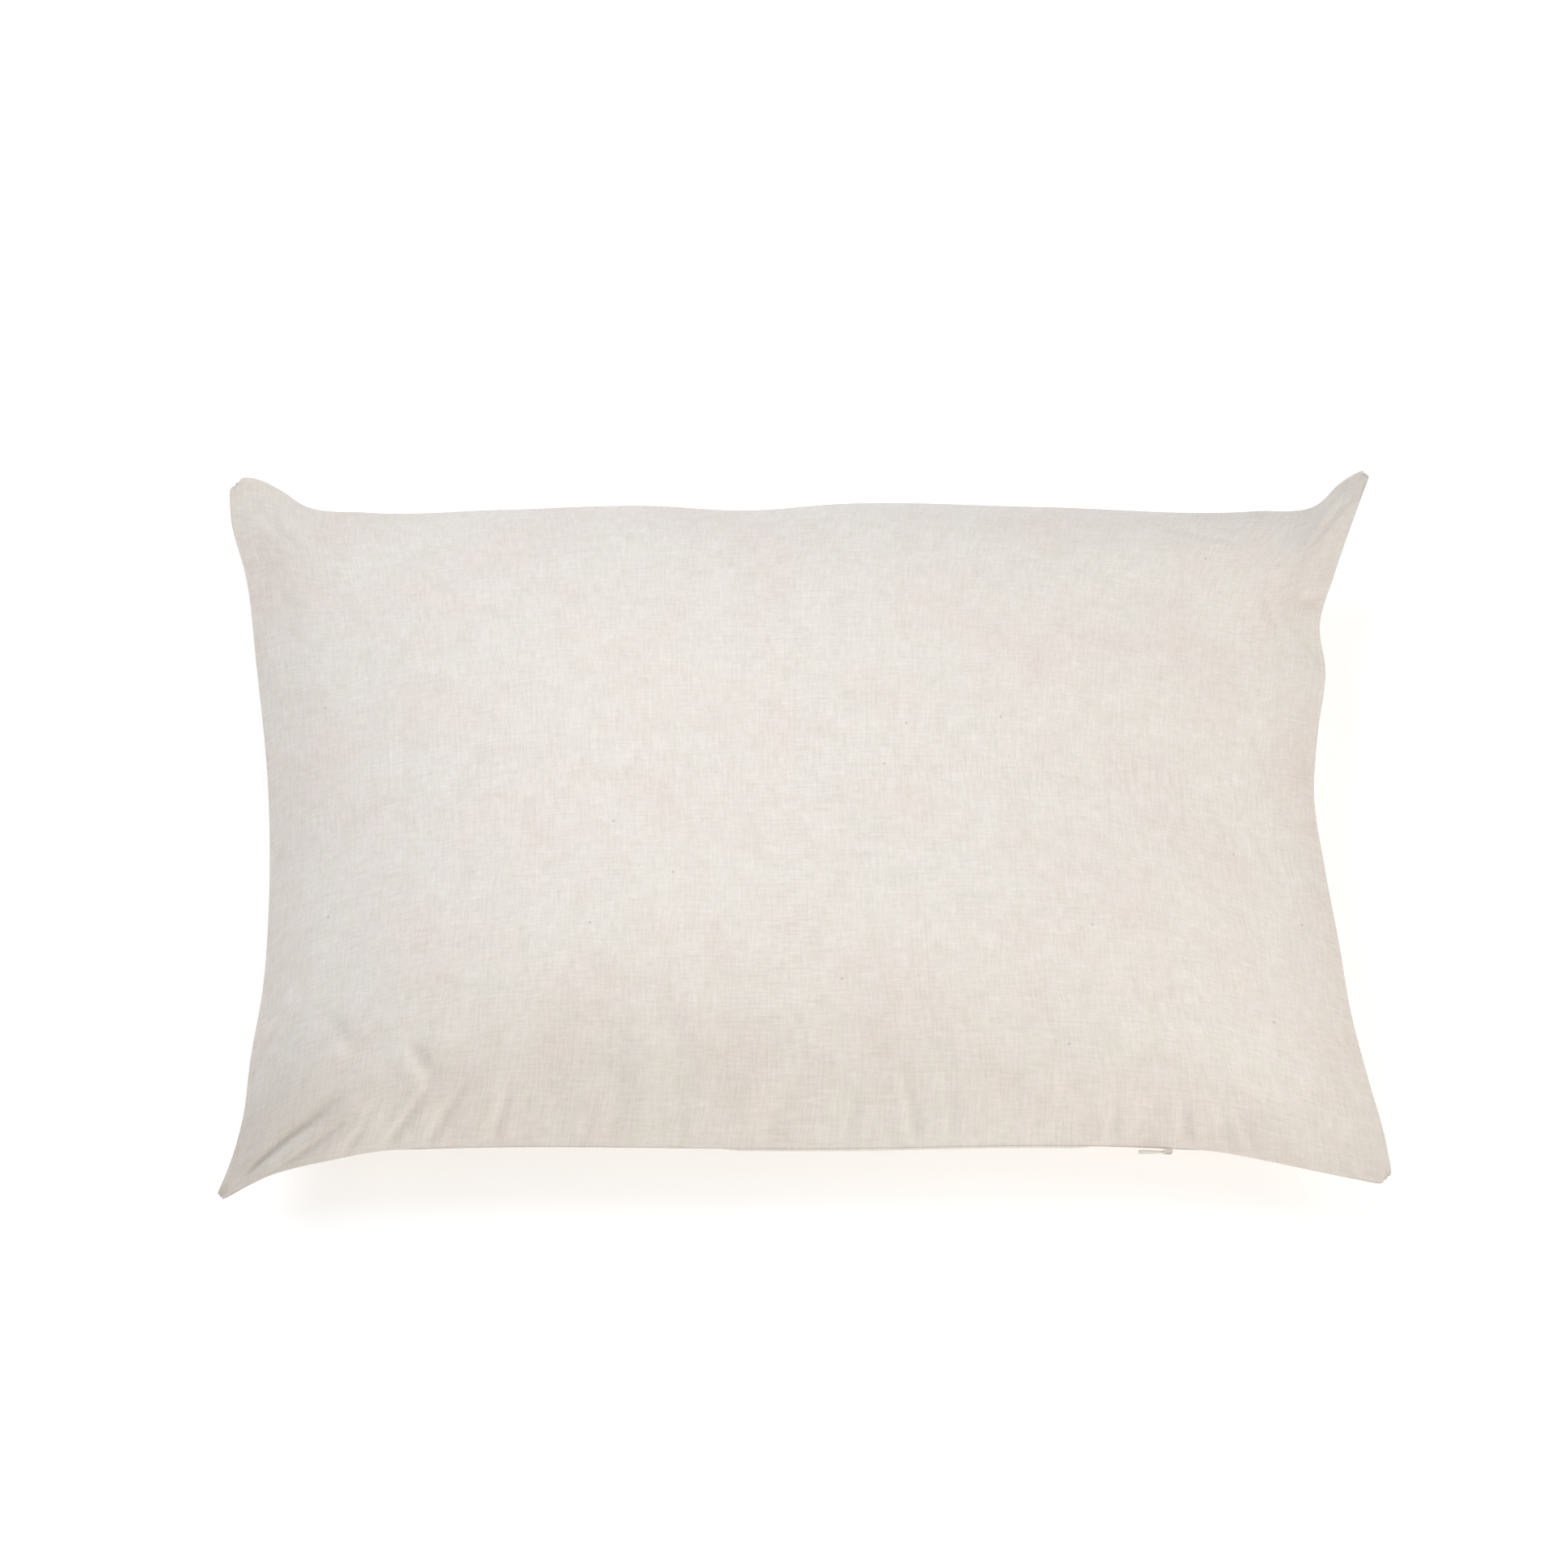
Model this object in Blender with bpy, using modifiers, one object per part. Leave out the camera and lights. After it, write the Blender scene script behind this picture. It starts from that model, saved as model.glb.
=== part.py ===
"""Bed pillow: a feather-filled insert in a linen cover that closes with a concealed zip.

The pillow lies on its lower panel with its crown up. X runs along the long seams, the zip is in
the front seam at -Y, and the origin is on the resting face under the pillow's middle.
"""
import math

import bmesh
import bpy
from mathutils import Matrix, Vector

# Driving dimensions, in metres.
EAR_LENGTH = 0.752      # ear tip to ear tip along X
EAR_WIDTH = 0.504       # ear tip to ear tip along Y
SEAM_HEIGHT = 0.054     # edge seam above the resting face
CROWN = 0.098           # top of the upper panel above the seam
SIDE_PULL = 0.034       # draw-in of each short seam between its ears
LONG_PULL = 0.024       # draw-in of each long seam between its ears
STRAIGHT_HALF = 0.265   # half of the straight stretch of a long seam, which holds the zip

LINEN = 0.0006          # cover cloth thickness
TICKING = 0.0004        # insert cloth thickness
EDGE_GAP = 0.0009       # each panel's edge above or below the seam plane
COVER_EASE = 0.0016     # free space between cover and insert where they face each other
CASE_EASE = 0.0012      # free space between the insert's case and its filling
INSERT_INSET = 0.016    # insert seam inside the cover seam
FILL_INSET = 0.020      # edge of the filling inside the cover seam
PIPING_INSET = 0.0140
PIPING_RADIUS = 0.0015
THREAD_INSET = 0.0080
THREAD_RADIUS = 0.0004
THREAD_START = 0.68     # share of the half seam, which starts the thread beyond the zip's end
STITCH_INSET = 0.0106   # closing stitches on the insert's right short seam
STITCH_SWING = 0.0008
STITCH_REACH = 0.28     # share of the short seam's half length
STITCHES = 30
LABEL_THICKNESS = 0.0003
LABEL_INSET = 0.010
LABEL_DROP = 0.0012

ZIP_HALF = 0.240        # half of the zip's chain length
ZIP_DEPTH = 0.0070      # zip chain behind the edges of the panels
COIL_SIZE = 0.0016
COIL_EDGE = 0.0007      # inner edge of each coil from the seam plane
TAPE_WIDTH = 0.0090
TAPE_THICKNESS = 0.0004
TAPE_SLOPE = math.radians(52.0)
TOUCH_GAP = 0.0003      # between pieces that touch
STOP_LENGTH = 0.0030
SLIDER_LENGTH = 0.0090
SLIDER_HEIGHT = 0.0064
SLIDER_PLATE = 0.0010
LUG_THICKNESS = 0.0010
LUG_RADIUS = 0.0018
LUG_HOLE = 0.00115
PULL_REACH = 0.0022     # the pull's pivot in front of the panels' edges
PULL_PIN = 0.0008
PULL_CHEEK = 0.0008
PULL_LENGTH = 0.0200
PULL_HEIGHT = 0.0050
PULL_THICKNESS = 0.0012
PULL_NECK = 0.0012      # height of the drop where it leaves the fork
SOFTEN = 0.0003         # bevel on the zip's small parts
ROUND = 24              # sides of the lug's end, its hole and the pull's eyes and pin
DROP_POINTS = 14        # round the end of the drop-shaped pull

# How the soft form falls away. A higher power keeps the middle flatter and the seams steeper.
SIDE_BOW = 2.2          # bow of the short seams between the ears
CROWN_ALONG = 3.5       # crown towards the short seams
CROWN_ACROSS = 4        # crown towards the long seams
BELLY_END = 0.24        # share of the half length where the belly rises off the resting face
BELLY_SIDE = 0.30       # share of the half width where it does

# Cells of the soft surfaces along X and Y, and points round the seams.
SHELL_CELLS = (24, 16)
FILL_CELLS = (20, 14)
PIPING_POINTS = 64
THREAD_POINTS = 58
WELD = 0.00001          # joins the filling's upper and lower halves at the seam plane

FRONT_SEAM = -(EAR_WIDTH / 2 - LONG_PULL)
ZIP_LINE = FRONT_SEAM + ZIP_DEPTH
STOP_END = ZIP_HALF + TOUCH_GAP + STOP_LENGTH
SLIDER_X = ZIP_HALF - SLIDER_LENGTH / 2


# ---- scene, materials and objects ----

def clear_scene():
    for item in list(bpy.data.objects):
        bpy.data.objects.remove(item)


def add_collection(name):
    collection = bpy.data.collections.new(name)
    bpy.context.scene.collection.children.link(collection)
    return collection


def make_material(name, colour, roughness, metallic=0.0):
    material = bpy.data.materials.new(name)
    material.use_nodes = True
    shader = material.node_tree.nodes["Principled BSDF"]
    shader.inputs["Base Color"].default_value = (*colour, 1.0)
    shader.inputs["Roughness"].default_value = roughness
    shader.inputs["Metallic"].default_value = metallic
    return material


def add_object(name, data, material, location=(0, 0, 0)):
    """Adds one named piece to the pillow, placed from the middle of the seam plane."""
    item = bpy.data.objects.new(name, data)
    data.materials.append(material)
    item.location = location
    item.parent = pillow
    parts.objects.link(item)
    return item


def mesh_from(name, bm):
    mesh = bpy.data.meshes.new(name)
    bm.to_mesh(mesh)
    bm.free()
    return mesh


def add_thickness(item, thickness, offset):
    modifier = item.modifiers.new("thickness", "SOLIDIFY")
    modifier.thickness = thickness
    modifier.offset = offset


def add_boolean(item, operation, other):
    modifier = item.modifiers.new(operation.lower(), "BOOLEAN")
    modifier.operation = operation
    modifier.solver = "EXACT"
    modifier.object = other


def add_cutter(name, mesh, location):
    item = bpy.data.objects.new(name, mesh)
    item.location = location
    item.parent = pillow
    item.hide_render = True
    item.display_type = "WIRE"
    cutters.objects.link(item)
    return item


# ---- the pillow's soft form ----
# Every soft layer is one family of surfaces over a square, u and v from -1 to 1. A layer lies
# inside the cover by its inset at the seam and by its drop where it faces the cover.

def spread(t):
    """Moves evenly spaced grid lines towards the seams, where the form curves most."""
    return 0.5 * t + 0.5 * math.sin(math.pi / 2 * t)


def outline(u, v, inset):
    """Point in the seam plane: long seams straight over the zip, short seams bowed inwards."""
    along = abs(u) * (EAR_LENGTH / 2 - inset)
    across = abs(v) * (1 - inset / (EAR_WIDTH / 2))
    curve = max(0.0, along - STRAIGHT_HALF) / (EAR_LENGTH / 2 - STRAIGHT_HALF)
    side = EAR_LENGTH / 2 - inset - SIDE_PULL * (1 - across ** SIDE_BOW)
    front = EAR_WIDTH / 2 - inset - LONG_PULL * (1 - curve ** 2)
    return Vector((u * side, v * front, 0))


def crown(u, v):
    """Share of the crown's height: 0 at the seams, 1 in the middle."""
    return (1 - abs(u) ** CROWN_ALONG) * (1 - abs(v) ** CROWN_ACROSS)


def belly(u, v):
    """Share of the belly's depth: 0 at the seams, 1 all over the resting face."""
    end = min(1.0, (1 - abs(u)) / BELLY_END)
    side = min(1.0, (1 - abs(v)) / BELLY_SIDE)
    return math.sin(math.pi / 2 * end) * math.sin(math.pi / 2 * side)


def upper_point(u, v, inset, drop, gap=EDGE_GAP):
    return outline(u, v, inset) + Vector((0, 0, gap + (CROWN - gap - drop) * crown(u, v)))


def lower_point(u, v, inset, drop, gap=EDGE_GAP):
    return outline(u, v, inset) - Vector((0, 0, gap + (SEAM_HEIGHT - gap - drop) * belly(u, v)))


def soft_grid(bm, place, cells, inset, drop, gap, flip):
    """Adds a grid shaped by place; flip turns its faces down for a lower layer."""
    verts = bmesh.ops.create_grid(bm, x_segments=cells[0], y_segments=cells[1], size=1)["verts"]
    faces = list({face for vert in verts for face in vert.link_faces})
    for vert in verts:
        vert.co = place(spread(vert.co.x), spread(vert.co.y), inset, drop, gap)
    if flip:
        bmesh.ops.reverse_faces(bm, faces=faces)


def add_shell(name, upper, inset, drop, thickness, material):
    """A cloth panel: an open surface with its thickness on the inside."""
    bm = bmesh.new()
    place = upper_point if upper else lower_point
    edge = EDGE_GAP + (thickness if inset == 0 else 0)
    soft_grid(bm, place, SHELL_CELLS, inset, drop, edge, flip=not upper)
    mesh = mesh_from(name, bm)
    mesh.shade_smooth()
    item = add_object(name, mesh, material)
    add_thickness(item, thickness, -1)


def add_fill():
    """The feather and down filling: one closed soft body inside the insert's case."""
    bm = bmesh.new()
    drop = LINEN + COVER_EASE + TICKING + CASE_EASE
    soft_grid(bm, upper_point, FILL_CELLS, FILL_INSET, drop, 0, flip=False)
    soft_grid(bm, lower_point, FILL_CELLS, FILL_INSET, drop, 0, flip=True)
    bmesh.ops.remove_doubles(bm, verts=bm.verts, dist=WELD)
    mesh = mesh_from("fill", bm)
    mesh.shade_smooth()
    add_object("fill", mesh, down)


def add_label(name, place, u_range, v_half, material):
    """A blank woven label in the free space between the cover and the insert."""
    bm = bmesh.new()
    verts = bmesh.ops.create_grid(bm, x_segments=5, y_segments=3, size=1)["verts"]
    u_middle = sum(u_range) / 2
    u_half = (u_range[1] - u_range[0]) / 2
    for vert in verts:
        u, v = u_middle + u_half * vert.co.x, v_half * vert.co.y
        vert.co = place(u, v, LABEL_INSET, LABEL_DROP)
    item = add_object(name, mesh_from(name, bm), material)
    add_thickness(item, LABEL_THICKNESS, 0)


# ---- cords and threads round the seams ----

def seam_walk(inset, start, end, count):
    """Points along the seam. The walk is 0 to 8 round the form, anticlockwise from its middle
    front: 1 to 3 is the right short seam, 3 to 5 the back, 5 to 7 the left."""
    points = []
    for step in range(count):
        walk = (start + (end - start) * step / (count - 1)) % 8
        side = int((walk + 1) // 2) % 4
        along = spread((walk + 1) % 2 - 1)
        u, v = ((along, -1), (1, along), (-along, 1), (-1, -along))[side]
        points.append(outline(u, v, inset))
    return points


def add_tube(name, points, radius, material, cyclic=False, sides=2):
    curve = bpy.data.curves.new(name, "CURVE")
    curve.dimensions = "3D"
    curve.bevel_depth = radius
    curve.bevel_resolution = sides
    curve.use_fill_caps = not cyclic
    spline = curve.splines.new("POLY")
    spline.points.add(len(points) - 1)
    for target, point in zip(spline.points, points):
        target.co = (*point, 1)
    spline.use_cyclic_u = cyclic
    return add_object(name, curve, material)


def add_piping():
    points = seam_walk(PIPING_INSET, 0, 8, PIPING_POINTS + 1)[:-1]
    add_tube("insert_piping", points, PIPING_RADIUS, cotton, cyclic=True)


def add_seam_thread():
    """Overlock thread along the closed part of the cover's seam, from one zip end to the other."""
    points = seam_walk(THREAD_INSET, THREAD_START, 8 - THREAD_START, THREAD_POINTS)
    add_tube("cover_seam_thread", points, THREAD_RADIUS, thread, sides=1)


def add_closing_thread():
    """Whip stitches over the insert's edge, where it was closed after filling."""
    points = []
    for step in range(STITCHES + 1):
        v = STITCH_REACH * (2 * step / STITCHES - 1)
        lift = Vector((0, 0, STITCH_SWING * (-1) ** step))
        points.append(outline(1, v, STITCH_INSET) + lift)
    add_tube("insert_closing_thread", points, THREAD_RADIUS, thread, sides=1)


# ---- zip ----

def box_mesh(name, size, bevel=0.0):
    bm = bmesh.new()
    bmesh.ops.create_cube(bm, size=1, matrix=Matrix.Diagonal((*size, 1)))
    if bevel:
        bmesh.ops.bevel(bm, geom=bm.edges, offset=bevel, segments=2, profile=0.5,
                        affect="EDGES", material=-1)
    return mesh_from(name, bm)


def disc_mesh(name, radius, height):
    bm = bmesh.new()
    bmesh.ops.create_cone(bm, cap_ends=True, segments=ROUND, radius1=radius, radius2=radius,
                          depth=height)
    return mesh_from(name, bm)


def add_coils_and_tapes():
    stop_x = ZIP_HALF + TOUCH_GAP + STOP_LENGTH / 2
    for name, side in (("upper", 1), ("lower", -1)):
        coil_z = side * (COIL_EDGE + COIL_SIZE / 2)
        coil = box_mesh("zip_coil_" + name, (2 * ZIP_HALF, COIL_SIZE, COIL_SIZE), SOFTEN)
        add_object("zip_coil_" + name, coil, nylon, (0, ZIP_LINE, coil_z))

        tape = box_mesh("zip_tape_" + name, (2 * STOP_END, TAPE_THICKNESS, TAPE_WIDTH))
        lean = TAPE_WIDTH / 2 * math.cos(TAPE_SLOPE)
        rise = TAPE_WIDTH / 2 * math.sin(TAPE_SLOPE)
        tape_z = COIL_EDGE + COIL_SIZE + TOUCH_GAP + rise
        item = add_object("zip_tape_" + name, tape, tape_cloth, (0, ZIP_LINE + lean, side * tape_z))
        item.rotation_euler.x = -side * (math.pi / 2 - TAPE_SLOPE)

        stop = box_mesh("zip_top_stop_" + name, (STOP_LENGTH, COIL_SIZE, COIL_SIZE), SOFTEN)
        add_object("zip_top_stop_" + name, stop, lacquer, (stop_x, ZIP_LINE, coil_z))

    height = 2 * (COIL_EDGE + COIL_SIZE)
    end = box_mesh("zip_end_stop", (STOP_LENGTH, COIL_SIZE, height), SOFTEN)
    add_object("zip_end_stop", end, lacquer, (-stop_x, ZIP_LINE, 0))


def add_slider():
    """Front and rear plates on the chain, the web that parts the coils, and the lug that comes
    out between the panels. Its origin is on the chain's line."""
    plate_y = COIL_SIZE / 2 + 2 * TOUCH_GAP + SLIDER_PLATE / 2
    plate = (SLIDER_LENGTH, SLIDER_PLATE, SLIDER_HEIGHT)
    slider = add_object("zip_slider", box_mesh("zip_slider", plate, SOFTEN), lacquer)
    slider.location = (SLIDER_X, ZIP_LINE, 0)
    for vert in slider.data.vertices:
        vert.co.y -= plate_y

    web = (SLIDER_LENGTH / 3, 2 * plate_y, LUG_THICKNESS * 0.8)
    lug_reach = ZIP_DEPTH + PULL_REACH
    lug = (2 * LUG_RADIUS, lug_reach - plate_y, LUG_THICKNESS)
    hole = 4 * LUG_THICKNESS
    shapes = (
        ("rear_plate", box_mesh("rear_plate", plate, SOFTEN), "UNION", plate_y),
        ("web", box_mesh("web", web), "UNION", 0),
        ("lug_bar", box_mesh("lug_bar", lug), "UNION", -(lug_reach + plate_y) / 2),
        ("lug_end", disc_mesh("lug_end", LUG_RADIUS, LUG_THICKNESS), "UNION", -lug_reach),
        ("lug_hole", disc_mesh("lug_hole", LUG_HOLE, hole), "DIFFERENCE", -lug_reach),
    )
    for name, mesh, operation, y in shapes:
        cutter = add_cutter(name, mesh, (SLIDER_X, ZIP_LINE + y, 0))
        add_boolean(slider, operation, cutter)


def add_pull():
    """Drop-shaped pull in a fork whose pin stands in the lug's hole. Its origin is on the pin."""
    pivot = (SLIDER_X, FRONT_SEAM - PULL_REACH, 0)
    cheek_z = LUG_THICKNESS / 2 + TOUCH_GAP + PULL_CHEEK / 2
    fork_height = 2 * cheek_z + PULL_CHEEK
    neck_x = -(LUG_RADIUS + 4 * TOUCH_GAP + PULL_CHEEK / 2)

    pull = add_object("zip_pull", drop_mesh("zip_pull", neck_x), lacquer, pivot)
    cheek = (abs(neck_x), 2 * PULL_CHEEK + PULL_THICKNESS / 2, PULL_CHEEK)
    neck = (2 * PULL_CHEEK, cheek[1], fork_height)
    shapes = (
        ("neck", box_mesh("neck", neck), (neck_x, 0)),
        ("cheek_upper", box_mesh("cheek_upper", cheek), (neck_x / 2, cheek_z)),
        ("cheek_lower", box_mesh("cheek_lower", cheek), (neck_x / 2, -cheek_z)),
        ("eye_upper", disc_mesh("eye_upper", cheek[1] / 2, PULL_CHEEK), (0, cheek_z)),
        ("eye_lower", disc_mesh("eye_lower", cheek[1] / 2, PULL_CHEEK), (0, -cheek_z)),
        ("pin", disc_mesh("pin", PULL_PIN, fork_height - PULL_CHEEK), (0, 0)),
    )
    for name, mesh, (x, z) in shapes:
        cutter = add_cutter(name, mesh, (pivot[0] + x, pivot[1], z))
        add_boolean(pull, "UNION", cutter)


def drop_mesh(name, root_x):
    """A flat drop in the XZ plane that widens away from its root towards -X."""
    bm = bmesh.new()
    half = PULL_HEIGHT / 2
    centre = -(PULL_LENGTH - half)
    lean = math.acos(half / (root_x - centre))
    loop = [bm.verts.new((root_x, 0, z)) for z in (PULL_NECK / 2, -PULL_NECK / 2)]
    for step in range(DROP_POINTS):
        angle = -lean - (2 * math.pi - 2 * lean) * step / (DROP_POINTS - 1)
        x = centre + half * math.cos(angle)
        loop.append(bm.verts.new((x, 0, half * math.sin(angle))))
    face = bm.faces.new(loop)
    grown = bmesh.ops.extrude_face_region(bm, geom=[face])["geom"]
    for vert in bm.verts:
        vert.co.y = -PULL_THICKNESS / 2
    for vert in (item for item in grown if isinstance(item, bmesh.types.BMVert)):
        vert.co.y = PULL_THICKNESS / 2
    bmesh.ops.recalc_face_normals(bm, faces=bm.faces)
    return mesh_from(name, bm)


# ---- assembly ----

clear_scene()
parts = add_collection("bed_pillow")
cutters = add_collection("cutters")
pillow = bpy.data.objects.new("pillow", None)
pillow.location.z = SEAM_HEIGHT
parts.objects.link(pillow)

linen = make_material("natural_linen", (0.79, 0.74, 0.67), 0.92)
thread = make_material("polyester_thread", (0.74, 0.69, 0.62), 0.70)
tape_cloth = make_material("zip_tape_cloth", (0.72, 0.67, 0.60), 0.85)
nylon = make_material("nylon_coil", (0.70, 0.65, 0.57), 0.40)
lacquer = make_material("lacquered_zinc", (0.71, 0.66, 0.58), 0.35, 0.3)
cotton = make_material("cambric_cotton", (0.86, 0.85, 0.82), 0.88)
ribbon = make_material("label_ribbon", (0.88, 0.87, 0.85), 0.55)
down = make_material("feather_and_down", (0.84, 0.82, 0.78), 0.98)

add_shell("cover_top_panel", True, 0, 0, LINEN, linen)
add_shell("cover_bottom_panel", False, 0, 0, LINEN, linen)
add_seam_thread()
add_label("cover_care_label", lower_point, (-0.97, -0.84), 0.07, ribbon)

add_coils_and_tapes()
add_slider()
add_pull()

CASE_DROP = LINEN + COVER_EASE
add_shell("insert_case_top", True, INSERT_INSET, CASE_DROP, TICKING, cotton)
add_shell("insert_case_bottom", False, INSERT_INSET, CASE_DROP, TICKING, cotton)
add_piping()
add_closing_thread()
add_label("insert_label", upper_point, (0.84, 0.97), 0.06, ribbon)
add_fill()
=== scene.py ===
"""A bed pillow: a feather-filled insert in a natural linen cover that closes with a concealed zip.

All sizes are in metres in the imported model's frame: X runs along the long seams, the zip is in the
front seam at -Y, and Z points up from the resting face.
"""
import math

import bmesh
import bpy
import numpy as np
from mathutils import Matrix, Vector, noise


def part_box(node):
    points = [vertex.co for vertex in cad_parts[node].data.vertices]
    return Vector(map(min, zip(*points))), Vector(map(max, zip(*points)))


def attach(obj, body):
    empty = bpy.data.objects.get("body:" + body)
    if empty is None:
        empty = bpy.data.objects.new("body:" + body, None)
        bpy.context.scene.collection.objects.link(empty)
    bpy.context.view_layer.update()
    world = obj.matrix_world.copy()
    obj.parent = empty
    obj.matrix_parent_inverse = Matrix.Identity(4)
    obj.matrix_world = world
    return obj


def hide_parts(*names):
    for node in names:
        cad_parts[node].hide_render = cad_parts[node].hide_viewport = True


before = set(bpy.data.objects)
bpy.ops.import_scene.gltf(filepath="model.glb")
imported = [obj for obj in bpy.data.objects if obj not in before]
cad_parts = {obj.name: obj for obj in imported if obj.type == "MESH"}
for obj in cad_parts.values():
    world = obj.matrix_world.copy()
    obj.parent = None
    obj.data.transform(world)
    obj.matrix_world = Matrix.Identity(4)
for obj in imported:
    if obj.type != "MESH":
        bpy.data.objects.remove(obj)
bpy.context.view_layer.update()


# ==== The filled cover's form ====
# The cover is two rectangles of linen, 762 x 508 mm between the seams. Filled, its edge draws in
# between four ears, and the front seam stays straight where the zip is sewn in. Every other soft
# layer lies inside this form.
FLAT_LENGTH = 0.762
FLAT_WIDTH = 0.508
CELLS_LONG = 132
CELLS_WIDE = 88
CHAIN_DEPTH = 0.007      # zip chain behind the seam

chain_low, chain_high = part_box("zip_coil_upper")
lower_coil_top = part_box("zip_coil_lower")[1].z
SEAM_Y = (chain_low.y + chain_high.y) / 2 - CHAIN_DEPTH
SEAM_Z = (chain_low.z + lower_coil_top) / 2

# Where the seam lies from ear to ear. Each ear has its own lie: the front left one hangs, the
# front right one is flat, the back right one stands up and the back left one is blunt.
FRONT_LEFT = (-0.3755, -0.2545, 0.023)
FRONT_RIGHT = (0.3785, -0.2500, 0.044)
BACK_RIGHT = (0.3770, 0.2490, 0.077)
BACK_LEFT = (-0.3745, 0.2455, 0.066)
front_seam = [
    FRONT_LEFT, (-0.336, -0.240, 0.040), (-0.300, -0.2345, 0.050), (-0.262, SEAM_Y - 0.001, SEAM_Z),
    (-0.240, SEAM_Y, SEAM_Z), (0, SEAM_Y, SEAM_Z), (0.240, SEAM_Y, SEAM_Z),
    (0.262, SEAM_Y - 0.0015, SEAM_Z), (0.300, -0.2365, 0.053), (0.340, -0.244, 0.049), FRONT_RIGHT]
right_seam = [
    FRONT_RIGHT, (0.3725, -0.215, 0.049), (0.3635, -0.180, 0.053), (0.3535, -0.135, 0.055),
    (0.347, -0.085, 0.054), (0.339, -0.030, 0.053), (0.3335, 0.020, 0.053),
    (0.337, 0.065, 0.054), (0.343, 0.110, 0.054), (0.340, 0.142, 0.056),
    (0.350, 0.175, 0.063), (0.362, 0.209, 0.070), BACK_RIGHT]
back_seam = [
    BACK_RIGHT, (0.3560, 0.2410, 0.067), (0.340, 0.2290, 0.057), (0.300, 0.226, 0.054),
    (0.160, 0.229, 0.054), (0.030, 0.231, 0.055), (-0.035, 0.227, 0.053),
    (-0.100, 0.230, 0.054), (-0.195, 0.227, 0.054), (-0.285, 0.2245, 0.055),
    (-0.326, 0.2285, 0.058), (-0.340, 0.2375, 0.061), (-0.356, 0.2445, 0.064), BACK_LEFT]
left_seam = [
    BACK_LEFT, (-0.3725, 0.214, 0.061), (-0.363, 0.180, 0.056), (-0.354, 0.113, 0.054),
    (-0.344, 0.020, 0.053), (-0.342, -0.060, 0.053), (-0.3445, -0.118, 0.054),
    (-0.351, -0.165, 0.054), (-0.3560, -0.207, 0.047), (-0.364, -0.232, 0.036), FRONT_LEFT]


def smooth_line(points, cells):
    """A smooth curve through the points, cut into equal lengths: cells + 1 places in all."""
    knots = np.array(points, float)
    gaps = np.linalg.norm(np.diff(knots, axis=0), axis=1)
    slopes = np.diff(knots, axis=0) / gaps[:, None]
    before, after = gaps[:-1, None], gaps[1:, None]
    inner = (slopes[:-1] * after + slopes[1:] * before) / (before + after)
    slopes = np.vstack([slopes[:1], inner, slopes[-1:]])
    fine = []
    for k, gap in enumerate(gaps):
        t = np.linspace(0, 1, 60, endpoint=False)[:, None]
        fine.append((2 * t**3 - 3 * t**2 + 1) * knots[k] + (3 * t**2 - 2 * t**3) * knots[k + 1]
                    + gap * ((t**3 - 2 * t**2 + t) * slopes[k] + (t**3 - t**2) * slopes[k + 1]))
    fine = np.vstack(fine + [knots[-1:]])
    along = np.concatenate([[0], np.cumsum(np.linalg.norm(np.diff(fine, axis=0), axis=1))])
    cuts = np.linspace(0, along[-1], cells + 1)
    return np.stack([np.interp(cuts, along, fine[:, axis]) for axis in range(3)], 1)


# Every layer is held as two grids of points, [upper or lower, row from the front, column, xyz].
columns = np.linspace(-1, 1, CELLS_LONG + 1)[None, :]
rows = np.linspace(-1, 1, CELLS_WIDE + 1)[:, None]
front = smooth_line(front_seam, CELLS_LONG)[None]
back = smooth_line(back_seam, CELLS_LONG)[::-1][None]
right = smooth_line(right_seam, CELLS_WIDE)[:, None]
left = smooth_line(left_seam, CELLS_WIDE)[::-1][:, None]
u = (columns[..., None] + 1) / 2
v = (rows[..., None] + 1) / 2
seam_sheet = ((1 - v) * front + v * back + (1 - u) * left + u * right
              - (1 - u) * (1 - v) * front[:, :1] - u * (1 - v) * front[:, -1:]
              - (1 - u) * v * back[:, :1] - u * v * back[:, -1:])

CROWN = 0.093            # middle of the crown above the seam, before the filling settles
UNDERSIDE = 0.003        # height of the lower panel's middle, before the filling settles
start = np.stack([seam_sheet, seam_sheet])
start[0, :, :, 2] += CROWN * (1 - abs(columns)**3.5) * (1 - abs(rows)**4)
from_ends = np.minimum(1, (1 - abs(columns)) / 0.24)
from_sides = np.minimum(1, (1 - abs(rows)) / 0.30)
belly = np.sin(math.pi / 2 * from_ends) * np.sin(math.pi / 2 * from_sides)
start[1, :, :, 2] -= (start[1, :, :, 2] - UNDERSIDE) * belly

# The cut cloth. Near the front and right seams it is a little longer than the seam it is gathered
# into, which puckers it there.
FRONT_EASE = 0.022       # share of the front seam's length
RIGHT_EASE = 0.012
CUT_LOFT = 0.006         # half of the space between the two panels' middles
flat = np.zeros_like(start)
from_front = FLAT_WIDTH / 2 * (1 + rows)
from_right = FLAT_LENGTH / 2 * (1 - columns)
flat[..., 0] = columns * FLAT_LENGTH / 2 * (1 + FRONT_EASE * np.exp(-from_front / 0.035))
flat[..., 1] = rows * FLAT_WIDTH / 2 * (1 + RIGHT_EASE * np.exp(-from_right / 0.045))
loft = CUT_LOFT * (1 - columns**4) * (1 - rows**4)
flat[0, :, :, 2], flat[1, :, :, 2] = loft, -loft


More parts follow.
